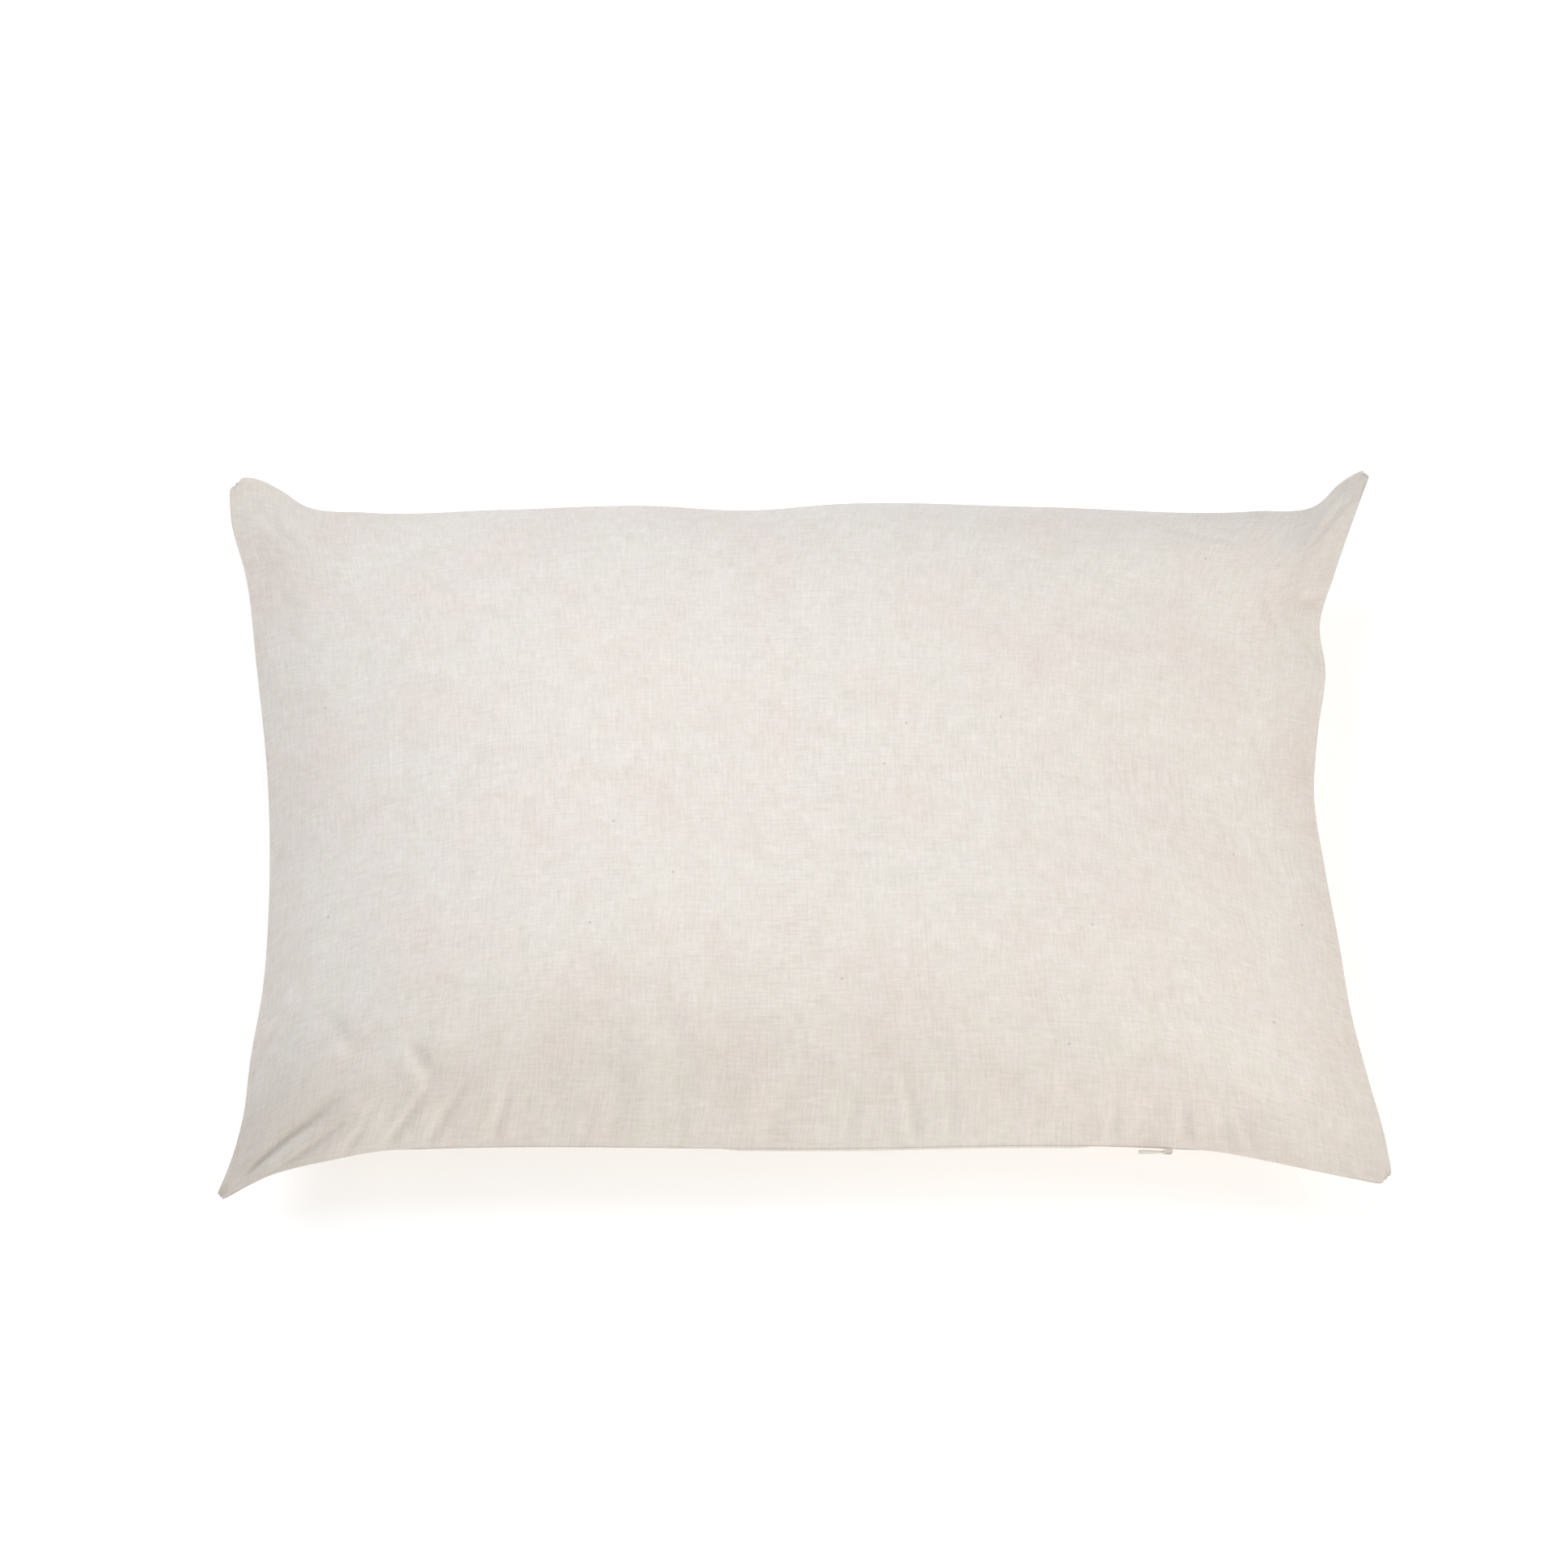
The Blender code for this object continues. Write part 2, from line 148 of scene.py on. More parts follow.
def sewn_envelope(name):
    """Both rectangles joined at the seam, with the grid place of each of its vertices."""
    bm = bmesh.new()
    for side in (1, -1):
        made = bmesh.ops.create_grid(bm, x_segments=CELLS_LONG, y_segments=CELLS_WIDE, size=0.5)
        if side < 0:
            faces = {face for vert in made["verts"] for face in vert.link_faces}
            bmesh.ops.reverse_faces(bm, faces=list(faces))
        for vert in made["verts"]:
            x, y = 2 * vert.co.x, 2 * vert.co.y
            vert.co = (x * FLAT_LENGTH / 2, y * FLAT_WIDTH / 2, side * (1 - x**4) * (1 - y**4))
    bmesh.ops.remove_doubles(bm, verts=bm.verts, dist=0.00001)
    mesh = bpy.data.meshes.new(name)
    bm.to_mesh(mesh)
    bm.free()
    item = bpy.data.objects.new(name, mesh)
    bpy.context.scene.collection.objects.link(item)
    places = np.zeros(len(mesh.vertices) * 3)
    mesh.vertices.foreach_get("co", places)
    places = places.reshape(-1, 3)
    column = np.rint((places[:, 0] / FLAT_LENGTH + 0.5) * CELLS_LONG).astype(int)
    row = np.rint((places[:, 1] / FLAT_WIDTH + 0.5) * CELLS_WIDE).astype(int)
    return item, (places[:, 2] < 0).astype(int), row, column


FILLED_VOLUME = 0.030    # cubic metres
RIPPLE = 0.00015         # unevenness that lets the cloth choose where it puckers


def settle_cover(frames=24):
    """Fills the sewn envelope under cloth physics, with its seam held where it lies."""
    item, layer, row, column = sewn_envelope("envelope")
    on_seam = (row == 0) | (row == CELLS_WIDE) | (column == 0) | (column == CELLS_LONG)
    cut, lying = flat[layer, row, column], start[layer, row, column].copy()
    random = np.random.default_rng(5)
    ripple = np.zeros(len(cut))
    for wave_x, wave_y, phase in random.uniform(-1, 1, (24, 3)) * (60, 60, math.pi):
        ripple += np.sin(wave_x * cut[:, 0] + wave_y * cut[:, 1] + phase)
    lying[:, 2] += np.where(on_seam, 0, RIPPLE * ripple)
    item.data.vertices.foreach_set("co", lying.ravel())
    item.shape_key_add(name="Basis")
    cut_key = item.shape_key_add(name="cut")
    cut_key.data.foreach_set("co", cut.ravel())

    # The filling hardly reaches into the corners.
    filled = item.vertex_groups.new(name="filled")
    from_end = FLAT_LENGTH / 2 * (1 - abs(2 * column / CELLS_LONG - 1))
    from_side = FLAT_WIDTH / 2 * (1 - abs(2 * row / CELLS_WIDE - 1))
    for index, reach in enumerate((from_end + from_side) / 0.05):
        filled.add([index], 0.02 + 0.98 * min(1.0, float(reach)), "REPLACE")
    held = item.vertex_groups.new(name="held")
    held.add([int(index) for index in np.nonzero(on_seam)[0]], 1.0, "REPLACE")

    cloth = item.modifiers.new("linen", "CLOTH")
    settings = cloth.settings
    settings.quality = 6
    settings.mass = 0.001
    settings.tension_stiffness = 500
    settings.compression_stiffness = 150
    settings.shear_stiffness = 20
    settings.bending_stiffness = 0.12
    settings.tension_damping = settings.compression_damping = settings.shear_damping = 5
    settings.air_damping = 3
    settings.vertex_group_mass = "held"
    settings.rest_shape_key = cut_key
    settings.use_pressure = True
    settings.use_pressure_volume = True
    settings.target_volume = FILLED_VOLUME
    settings.uniform_pressure_force = 0
    settings.pressure_factor = 4
    settings.vertex_group_pressure = "filled"
    cloth.collision_settings.distance_min = 0.002
    cloth.point_cache.frame_start, cloth.point_cache.frame_end = 1, frames

    bpy.ops.mesh.primitive_plane_add(size=2)
    table = bpy.context.object
    table.modifiers.new("table", "COLLISION")
    table.collision.thickness_outer = 0.001
    for number in range(1, frames + 1):
        bpy.context.scene.frame_set(number)
    settled = item.evaluated_get(bpy.context.evaluated_depsgraph_get()).to_mesh()
    lying = np.zeros(len(settled.vertices) * 3)
    settled.vertices.foreach_get("co", lying)
    lying = lying.reshape(-1, 3)
    form = start.copy()
    for side in (0, 1):
        mine = (layer == side) | on_seam
        form[side, row[mine], column[mine]] = lying[mine]
    bpy.context.scene.frame_set(1)
    for thing in (item, table):
        bpy.data.objects.remove(thing)
    return form


form = settle_cover()


def eased(t):
    """A smooth rise from 0 to 1."""
    t = np.clip(t, 0, 1)
    return t * t * (3 - 2 * t)


def calmed(grid, share, rounds):
    """Evens out small waves: each point moves by its share towards the mean of its neighbours."""
    for _ in range(rounds):
        mean = (grid[:-2, 1:-1] + grid[2:, 1:-1] + grid[1:-1, :-2] + grid[1:-1, 2:]) / 4
        grid[1:-1, 1:-1] += share[1:-1, 1:-1, None] * (mean - grid[1:-1, 1:-1])
    return grid


# Feathers hold the middle of the crown smooth, and leave the puckers near the seams.
from_seam = np.minimum(FLAT_LENGTH / 2 * (1 - abs(columns)), FLAT_WIDTH / 2 * (1 - abs(rows)))
calmed(form[0], 0.9 * eased((from_seam - 0.028) / 0.07), 60)
calmed(form[0], np.full_like(from_seam, 0.25), 2)
calmed(form[1], np.full_like(from_seam, 0.5), 4)


def twice_as_fine(grid):
    """Adds a point between each two along both directions, on a smooth curve through them."""
    for axis in (1, 2):
        grid = np.moveaxis(grid, axis, 0)
        padded = np.concatenate([2 * grid[:1] - grid[1:2], grid, 2 * grid[-1:] - grid[-2:-1]])
        between = (9 * (padded[1:-2] + padded[2:-1]) - padded[:-3] - padded[3:]) / 16
        fine = np.empty((2 * len(grid) - 1, *grid.shape[1:]))
        fine[::2], fine[1::2] = grid, between
        grid = np.moveaxis(fine, 0, axis)
    return grid


form = twice_as_fine(form)
columns = np.linspace(-1, 1, form.shape[2])[None, :]
rows = np.linspace(-1, 1, form.shape[1])[:, None]
flat_x, flat_y = columns * FLAT_LENGTH / 2 + 0 * rows, rows * FLAT_WIDTH / 2 + 0 * columns
from_seam = np.minimum(FLAT_LENGTH / 2 * (1 - abs(columns)), FLAT_WIDTH / 2 * (1 - abs(rows)))

# Where the cloth is eased into a seam it lies in short gathers. Each one starts on the seam, and
# leans by so much along the seam for its reach into the cloth: place, lean, reach and depth.
FRONT_GATHERS = (
    (-0.336, 2.0, 0.034, 0.0030), (-0.290, 0.5, 0.045, 0.0016), (-0.262, 0.55, 0.062, 0.0022),
    (-0.236, 0.45, 0.055, 0.0018), (-0.212, -1.1, 0.034, 0.0012), (-0.195, 0.15, 0.050, 0.0016),
    (-0.137, 0.10, 0.040, 0.0009), (-0.074, -0.2, 0.036, 0.0008), (-0.020, 0.15, 0.030, 0.0007),
    (0.030, 0.2, 0.044, 0.0010), (0.076, -0.35, 0.060, 0.0018), (0.098, -0.15, 0.046, 0.0013),
    (0.150, 0.1, 0.036, 0.0009), (0.199, 0.1, 0.046, 0.0012), (0.247, -0.1, 0.050, 0.0022),
    (0.274, -0.2, 0.040, 0.0018), (0.292, -0.5, 0.050, 0.0012))
RIGHT_GATHERS = (
    (0.152, 0.3, 0.040, 0.0036), (0.112, 1.3, 0.040, 0.0018), (0.085, 0.7, 0.026, 0.0010),
    (0.018, 2.4, 0.034, 0.0014), (-0.012, 0.6, 0.024, 0.0008), (-0.066, 1.6, 0.042, 0.0018),
    (-0.110, 0.5, 0.030, 0.0008), (-0.160, 0.8, 0.030, 0.0008))
LEFT_GATHERS = (
    (-0.120, 0.9, 0.028, 0.0009), (-0.175, 1.2, 0.040, 0.0012), (0.160, -0.8, 0.034, 0.0009),
    (0.040, 0.4, 0.024, 0.0005))
BACK_GATHERS = (
    (0.268, -0.2, 0.030, 0.0012), (0.040, 0.2, 0.034, 0.0008), (-0.260, 0.3, 0.036, 0.0012))
GATHER_WIDTH = 0.0052


def surface_normals(grid):
    """Unit normal of a grid at each of its points."""
    normal = np.cross(np.gradient(grid, axis=1), np.gradient(grid, axis=0))
    return normal / np.linalg.norm(normal, axis=2, keepdims=True)


def gathered(gathers, along, inwards):
    """Height of a seam's gathers: a valley between two low ridges, deepest just off the seam."""
    height = np.zeros_like(along)
    for place, lean, reach, depth in gathers:
        off = (along - place - lean * inwards) / (GATHER_WIDTH * math.hypot(1, lean))
        fade = eased(inwards / 0.008) * (1 - eased(inwards / reach))
        height -= depth * fade * (1 - 1.4 * off**2) * np.exp(-off**2)
    return height


def soft_noise(size, seed):
    """Smooth noise from -1 to 1 over the cut cloth, with waves about twice this size."""
    values = [noise.noise((x / size, y / size, seed))
              for x, y in zip(flat_x.ravel(), flat_y.ravel())]
    return np.array(values).reshape(flat_x.shape)


# Longer creases run into the ears and across the slack cloth: from, to, width and depth.
CREASES = (
    ((-0.376, -0.250), (-0.290, -0.212), 0.0095, 0.0044),
    ((0.372, 0.240), (0.342, 0.186), 0.0075, 0.0020),
    ((-0.366, 0.232), (-0.322, 0.196), 0.0080, 0.0018),
    ((0.318, 0.176), (0.352, 0.130), 0.0055, 0.0016),
    ((-0.252, -0.150), (-0.216, -0.168), 0.0032, 0.0007),
    ((-0.290, -0.196), (-0.330, -0.150), 0.0090, 0.0016),
    ((0.326, 0.072), (0.350, 0.006), 0.0060, 0.0014),
    ((0.322, -0.010), (0.352, -0.070), 0.0060, 0.0014),
    ((0.346, -0.216), (0.300, -0.190), 0.0100, 0.0014),
    ((-0.262, -0.190), (-0.236, -0.226), 0.0070, 0.0022),
    ((0.240, 0.226), (0.300, 0.212), 0.0050, 0.0009))


def creased(start_at, end_at, width, depth):
    """Height of one crease: a valley between low ridges that fades out at both ends."""
    run = np.subtract(end_at, start_at)
    length = math.hypot(*run)
    along = ((flat_x - start_at[0]) * run[0] + (flat_y - start_at[1]) * run[1]) / length**2
    off = ((flat_y - start_at[1]) * run[0] - (flat_x - start_at[0]) * run[1]) / length / width
    fade = eased(along / 0.3) * eased((1 - along) / 0.45)
    return -depth * fade * (1 - 1.4 * off**2) * np.exp(-off**2)


half_long, half_wide = FLAT_LENGTH / 2, FLAT_WIDTH / 2
relief = gathered(FRONT_GATHERS, flat_x, half_wide + flat_y)
relief += gathered(RIGHT_GATHERS, flat_y, half_long - flat_x)
relief += gathered(LEFT_GATHERS, flat_y, half_long + flat_x)
relief += gathered(BACK_GATHERS, flat_x, half_wide - flat_y)
relief += sum(creased(*crease) for crease in CREASES)

# The filling is looser towards the front left, where the cloth lies in shallow dents, and it is
# a little uneven everywhere.
DENT = 0.0028
UNEVEN = 0.0010
RUMPLE = 0.00030
slack = (1 - eased((half_wide + flat_y - 0.02) / 0.13))
slack *= 0.45 + 0.55 * eased((0.12 - flat_x) / 0.3)
free = eased(from_seam / 0.02)
relief += free * slack * DENT * soft_noise(0.030, 4.0)
relief += free * (UNEVEN * soft_noise(0.060, 8.0) + RUMPLE * soft_noise(0.017, 12.0))
form[0] += relief[..., None] * surface_normals(form[0])

# Turned out, a corner's point stays a little blunt.
BLUNTING = 0.30          # share of the way to the point five rows and columns in
BLUNT_RADIUS = 0.0055
for corner_row, inner_row in ((0, 5), (-1, -6)):
    for corner_column, inner_column in ((0, 5), (-1, -6)):
        corner = form[:, corner_row, corner_column]
        pull = (form[:, inner_row, inner_column].mean(axis=0) - corner)[:, None, None]
        off_x = flat_x - flat_x[corner_row, corner_column]
        off_y = flat_y - flat_y[corner_row, corner_column]
        near = np.exp(-(off_x**2 + off_y**2) / BLUNT_RADIUS**2)
        form += BLUNTING * near[None, ..., None] * pull

# Under the zip the lower panel stands a little forward of the seam.
LIP = 0.0045
lip = LIP * np.exp(-((half_wide + flat_y - 0.006) / 0.004)**2)
lip *= eased((flat_x + 0.075) / 0.04) * eased((0.205 - flat_x) / 0.03) * np.minimum(1, from_seam / 0.002)
form[1, :, :, 1] -= lip

# The two cloths and the seam allowance between them keep even the empty ears a little apart.
EAR_LOFT = 0.0060
apart = EAR_LOFT * (1 - np.exp(-from_seam / 0.012))
lack = np.maximum(0, apart - (form[0, :, :, 2] - form[1, :, :, 2]))
form[0, :, :, 2] += lack / 2
form[1, :, :, 2] -= lack / 2

# Its weight brings the lower panel down onto the table.
TABLE_GAP = 0.0001
low = form[1, :, :, 2]
raised = low.min() - TABLE_GAP
low -= raised * (1 - eased((low - low.min()) / 0.020))
middle = (form[0] + form[1]) / 2


# ==== Linen cover ====
# Two panels of washed natural linen, 0.6 mm thick, sewn right sides together and turned out, so
# each panel's edge is folded in along the seam. Slubby yarn in both directions and a few dark
# flecks of stalk give it its look.
LINEN = 0.0006
TURN = 0.0010            # from the seam to where the folded edge lies flat
ALLOWANCE = 0.0095
ZIP_ALLOWANCE = 0.0042   # folded edge over the zip, in front of its slider
ZIP_SLOT = 0.0007        # half of the slot between the panels over the zip
SEWN_GAP = 0.00012       # half of the gap where they are sewn
ZIP_REACH = chain_high.x + 0.004
FLECK_SPACING = 0.040


def srgb(code):
    """A colour from its sRGB hex code, as linear values."""
    parts = [int(code[k:k + 2], 16) / 255 for k in (0, 2, 4)]
    return (*[c / 12.92 if c <= 0.04045 else ((c + 0.055) / 1.055)**2.4 for c in parts], 1.0)


def node(tree, kind, inputs=None, **settings):
    """Adds a node: settings are its own properties, and inputs are values or linked sockets."""
    made = tree.nodes.new("ShaderNode" + kind)
    for name, value in settings.items():
        setattr(made, name, value)
    for name, value in (inputs or {}).items():
        if isinstance(value, bpy.types.NodeSocket):
            tree.links.new(value, made.inputs[name])
        else:
            made.inputs[name].default_value = value
    return made


def material(name, **finish):
    """A Principled material with the finish that is the same all over."""
    made = bpy.data.materials.new(name)
    made.use_nodes = True
    shader = made.node_tree.nodes["Principled BSDF"]
    for socket, value in finish.items():
        shader.inputs[socket.replace("_", " ")].default_value = value
    return made, made.node_tree, shader


def streaks(tree, place, width, length, detail=2.0):
    """Yarn-like noise: width and length of one streak, along the place's first two axes."""
    scaled = node(tree, "Mapping", {"Vector": place, "Scale": (1 / width, 1 / length, 1)})
    return node(tree, "TexNoise", {"Vector": scaled.outputs[0], "Scale": 1.0, "Detail": detail,
                                   "Roughness": 0.6}, noise_dimensions="2D").outputs["Fac"]


def blend(tree, a, b, share, kind="MIX"):
    """One colour or value mixed with another by a share."""
    mix = node(tree, "Mix", {0: share, 6: a, 7: b}, data_type="RGBA", blend_type=kind)
    return mix.outputs[2]


def maths(tree, operation, a, b=0.0, c=0.0):
    """One step of arithmetic on up to three values or sockets."""
    return node(tree, "Math", {0: a, 1: b, 2: c}, operation=operation).outputs[0]


def woven(name, light, dark, drifts, fleck, yarn, contrast, ears=None):
    """Plain weave of uneven yarn. Real threads are about 0.3 mm apart, too fine to show, so the
    yarn's streaks are drawn a few times as wide."""
    made, tree, shader = material(name, Roughness=0.92, Sheen_Weight=0.15, Sheen_Roughness=0.45,
                                  Specular_IOR_Level=0.20)
    cloth = node(tree, "UVMap", uv_map="cloth").outputs[0]
    place = node(tree, "SeparateXYZ", {0: cloth})
    turned = node(tree, "Mapping", {"Vector": cloth, "Rotation": (0, 0, math.pi / 2)}).outputs[0]
    yarns = None
    for direction, share in ((cloth, 0.55), (turned, 0.45)):
        for width, length, part in ((yarn, 0.012, 0.66), (2 * yarn, 0.030, 0.22),
                                    (4 * yarn, 0.080, 0.12)):
            run = streaks(tree, direction, width, length)
            yarns = maths(tree, "MULTIPLY_ADD", run, share * part, yarns or 0.0)
    clouds = [node(tree, "TexNoise", {"Vector": cloth, "Scale": 1 / size, "Detail": 4.0,
                                      "Roughness": 0.65}, noise_dimensions="2D").outputs["Fac"]
              for size in (0.020, 0.014, 0.070)]
    mottled = maths(tree, "MULTIPLY_ADD", maths(tree, "SUBTRACT", clouds[0], 0.5), 0.22, 0.58)
    tone = maths(tree, "MULTIPLY_ADD", maths(tree, "SUBTRACT", yarns, 0.5), contrast, mottled)
    within = node(tree, "Clamp", {"Value": tone}).outputs[0]
    colour = blend(tree, srgb(dark), srgb(light), within)
    for drift, cloud, share in ((drifts[0], clouds[2], 0.55), (drifts[1], clouds[1], 0.45)):
        patch = node(tree, "MapRange", {"Value": cloud, "From Min": 0.42, "From Max": 0.75,
                                        "To Max": share}).outputs[0]
        colour = blend(tree, colour, srgb(drift), patch, "MULTIPLY")

    # Painted shade: towards the ends and the ears the colour is darkened by the given greyer colour.
    if ears:
        ends, sides = (maths(tree, "POWER", maths(tree, "ABSOLUTE", maths(
            tree, "DIVIDE", place.outputs[axis], half)), 4.0)
            for axis, half in ((0, FLAT_LENGTH / 2), (1, FLAT_WIDTH / 2)))
        painted_ear_shade = node(tree, "MapRange", {"Value": maths(tree, "MULTIPLY_ADD", sides, 0.55, ends),
                                           "From Min": 0.55, "From Max": 1.45}).outputs[0]
        colour = blend(tree, colour, srgb(ears), painted_ear_shade, "MULTIPLY")

    specks = node(tree, "TexVoronoi", {"Vector": cloth, "Scale": 1 / FLECK_SPACING},
                  voronoi_dimensions="2D")
    near = node(tree, "MapRange", {"Value": specks.outputs["Distance"], "From Min": 0.008,
                                   "From Max": 0.030, "To Min": 0.40, "To Max": 0.0}).outputs[0]
    some = maths(tree, "GREATER_THAN", specks.outputs["Color"], 0.80)
    colour = blend(tree, colour, srgb(fleck), maths(tree, "MULTIPLY", near, some))
    tree.links.new(colour, shader.inputs["Base Color"])

    grain = [maths(tree, "SINE", maths(tree, "MULTIPLY", place.outputs[axis],
                                       2 * math.pi / (0.5 * yarn))) for axis in (0, 1)]
    threads = maths(tree, "MULTIPLY", grain[0], grain[1])
    weave = maths(tree, "MULTIPLY_ADD", threads, 0.08, yarns)
    bump = node(tree, "Bump", {"Height": weave, "Strength": 0.8, "Distance": 0.0007})
    tree.links.new(bump.outputs[0], shader.inputs["Normal"])
    return made


# Washed linen: warm grey-white in lighter and darker yarns, with pinker and greener patches. Its
# ends and ears carry painted shade: a greyer colour where they lie turned away from the lamps.
linen = woven("washed_natural_linen", "F3EDE6", "CBC3B9", ("FFF5F6", "F8FCF3"), "6E6257", 0.0016,
              1.25, ears="EFEDEC")


def inward(row, column):
    """Unit direction from a seam point into the pillow, along the sheet between the panels."""
    last_row, last_column = middle.shape[0] - 1, middle.shape[1] - 1
    inner = middle[min(max(row, 3), last_row - 3), min(max(column, 3), last_column - 3)]
    return Vector(inner - middle[row, column]).normalized()


def folded_in(row, column):
    """How far the folded edge reaches into the pillow: less towards the points of the ears."""
    last_row, last_column = middle.shape[0] - 1, middle.shape[1] - 1
    along = min(column, last_column - column) / last_column * FLAT_LENGTH
    across = min(row, last_row - row) / last_row * FLAT_WIDTH
    return min(ALLOWANCE, 0.0004 + 0.35 * max(along, across))


def over_zip(x):
    """1 over the zip, 0 beyond it."""
    return float(1 - eased((abs(x) - ZIP_REACH) / 0.012))


def cloth_panel(name, grid, lower, thickness, surface, flat_size, hem=False):
    """A cloth panel on a grid of points, with its flat place as its UV map. With a hem, its edge
    is folded in along the seam."""
    last_row, last_column = grid.shape[0] - 1, grid.shape[1] - 1
    bm = bmesh.new()
    bmesh.ops.create_grid(bm, x_segments=last_column, y_segments=last_row, size=0.5)
    row_of, column_of = bm.verts.layers.int.new("row"), bm.verts.layers.int.new("column")
    cut = bm.loops.layers.uv.new("cloth")
    for vert in bm.verts:
        vert[row_of] = round((vert.co.y + 0.5) * last_row)
        vert[column_of] = round((vert.co.x + 0.5) * last_column)
        vert.co = grid[vert[row_of], vert[column_of]]
    if lower:
        bmesh.ops.reverse_faces(bm, faces=bm.faces)
    rim = [edge for edge in bm.edges if edge.is_boundary]
    if hem:
        for edge in rim:
            edge.smooth = False
        out = Vector((0, 0, -1 if lower else 1))
        for vert in {vert for edge in rim for vert in edge.verts}:
            front_zip = over_zip(vert.co.x) if vert[row_of] == 0 else 0
            vert.co += out * (SEWN_GAP + (ZIP_SLOT - SEWN_GAP) * front_zip)
        for share in (TURN / ALLOWANCE, 1 - TURN / ALLOWANCE):
            grown = bmesh.ops.extrude_edge_only(bm, edges=rim)["geom"]
            for vert in (item for item in grown if isinstance(item, bmesh.types.BMVert)):
                front_zip = over_zip(vert.co.x) if vert[row_of] == 0 else 0
                run = folded_in(vert[row_of], vert[column_of])
                run += (ZIP_ALLOWANCE - run) * front_zip
                vert.co += inward(vert[row_of], vert[column_of]) * share * run
            rim = [edge for edge in grown if isinstance(edge, bmesh.types.BMEdge) and edge.is_boundary]
    for face in bm.faces:
        for loop in face.loops:
            place = loop.vert[column_of] / last_column, loop.vert[row_of] / last_row
            loop[cut].uv = ((place[0] - 0.5) * flat_size[0], (place[1] - 0.5) * flat_size[1])
    bm.verts.layers.int.remove(bm.verts.layers.int["column"])
    bm.verts.layers.int.remove(bm.verts.layers.int["row"])
    mesh = bpy.data.meshes.new(name)
    bm.to_mesh(mesh)
    bm.free()
    mesh.shade_smooth()
    mesh.materials.append(surface)
    item = bpy.data.objects.new(name, mesh)
    bpy.context.scene.collection.objects.link(item)
    wall = item.modifiers.new("thickness", "SOLIDIFY")
    wall.thickness = thickness
    wall.offset = -1
    return item


def sewn_in(item, cad_node):
    """The piece goes with the pillow and stands for one CAD node."""
    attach(item, "pillow")
    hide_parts(cad_node)


for name, grid, lower in (("top", form[0], False), ("bottom", form[1], True)):
    panel = cloth_panel("linen_cover_" + name, grid, lower, LINEN, linen,
                        (FLAT_LENGTH, FLAT_WIDTH), hem=True)
    sewn_in(panel, "cover_" + name + "_panel")


# ==== Cover's seam thread ====
# Polyester thread that overlocks the two raw edges together inside the cover, from one end of the
# zip round the other three seams to its other end.
THREAD_RADIUS = 0.00018
OVERLOCK_PITCH = 0.0022
OVERLOCK_REACH = 0.0016  # half of the stitch's width
OVERLOCK_LIFT = 0.00095
OVERLOCK_DEPTH = ALLOWANCE - 0.0010
OVERLOCK_START = ZIP_REACH + 0.016


def place_on(grid, along, across):
    """Points of a grid, at along and across from -1 to 1."""
    x = np.clip((along + 1) / 2, 0, 1) * (grid.shape[1] - 1)
    y = np.clip((across + 1) / 2, 0, 1) * (grid.shape[0] - 1)
    column = np.minimum(x.astype(int), grid.shape[1] - 2)
    row = np.minimum(y.astype(int), grid.shape[0] - 2)
    x, y = (x - column)[..., None], (y - row)[..., None]
    return ((1 - x) * (1 - y) * grid[row, column] + x * (1 - y) * grid[row, column + 1]
            + (1 - x) * y * grid[row + 1, column] + x * y * grid[row + 1, column + 1])


def drawn_in(along, across, inset, rounding):
    """Moves places in from the cover's seam by inset, and rounds the corners."""
    new_along = along * (1 - inset / (FLAT_LENGTH / 2)) * np.sqrt(1 - rounding * across**2 / 2)
    new_across = across * (1 - inset / (FLAT_WIDTH / 2)) * np.sqrt(1 - rounding * along**2 / 2)
    return new_along, new_across


def round_the_seam(inset, rounding, spacing):
    """Points midway between the panels, evenly spaced anticlockwise from the front's middle."""
    corners = np.array([(0, -1), (1, -1), (1, 1), (-1, 1), (-1, -1), (0, -1)], float)
    walk = np.linspace(0, 5, 1501)
    along, across = (np.interp(walk, range(6), corners[:, axis]) for axis in (0, 1))
    line = place_on(middle, *drawn_in(along, across, inset, rounding))
    length = np.concatenate([[0], np.cumsum(np.linalg.norm(np.diff(line, axis=0), axis=1))])
    cuts = np.linspace(0, length[-1], round(length[-1] / spacing) + 1)
    return np.stack([np.interp(cuts, length, line[:, axis]) for axis in range(3)], 1)


def wound(line, across, lift, pitch, spacing):
    """A line wound round another one: across is its half width and lift its half height."""
    run = np.gradient(line, axis=0)
    side = np.stack([run[:, 1], -run[:, 0], 0 * run[:, 0]], 1)
    side /= np.linalg.norm(side, axis=1)[:, None]
    turn = 2 * math.pi * np.arange(len(line)) * spacing / pitch
    return (line + side * (across * np.cos(turn))[:, None]
            + np.array([0, 0, 1]) * (lift * np.sin(turn))[:, None])


def round_cord(name, points, radius, surface, closed=False, sides=1):
    """A round thread, cord or wire through the points."""
    curve = bpy.data.curves.new(name, "CURVE")
    curve.dimensions = "3D"
    curve.bevel_depth = radius
    curve.bevel_resolution = sides
    curve.use_fill_caps = not closed
    spline = curve.splines.new("POLY")
    spline.points.add(len(points) - 1)
    spline.points.foreach_set("co", np.hstack([points, np.ones((len(points), 1))]).ravel())
    spline.use_cyclic_u = closed
    curve.materials.append(surface)
    item = bpy.data.objects.new(name, curve)
    bpy.context.scene.collection.objects.link(item)
    return item


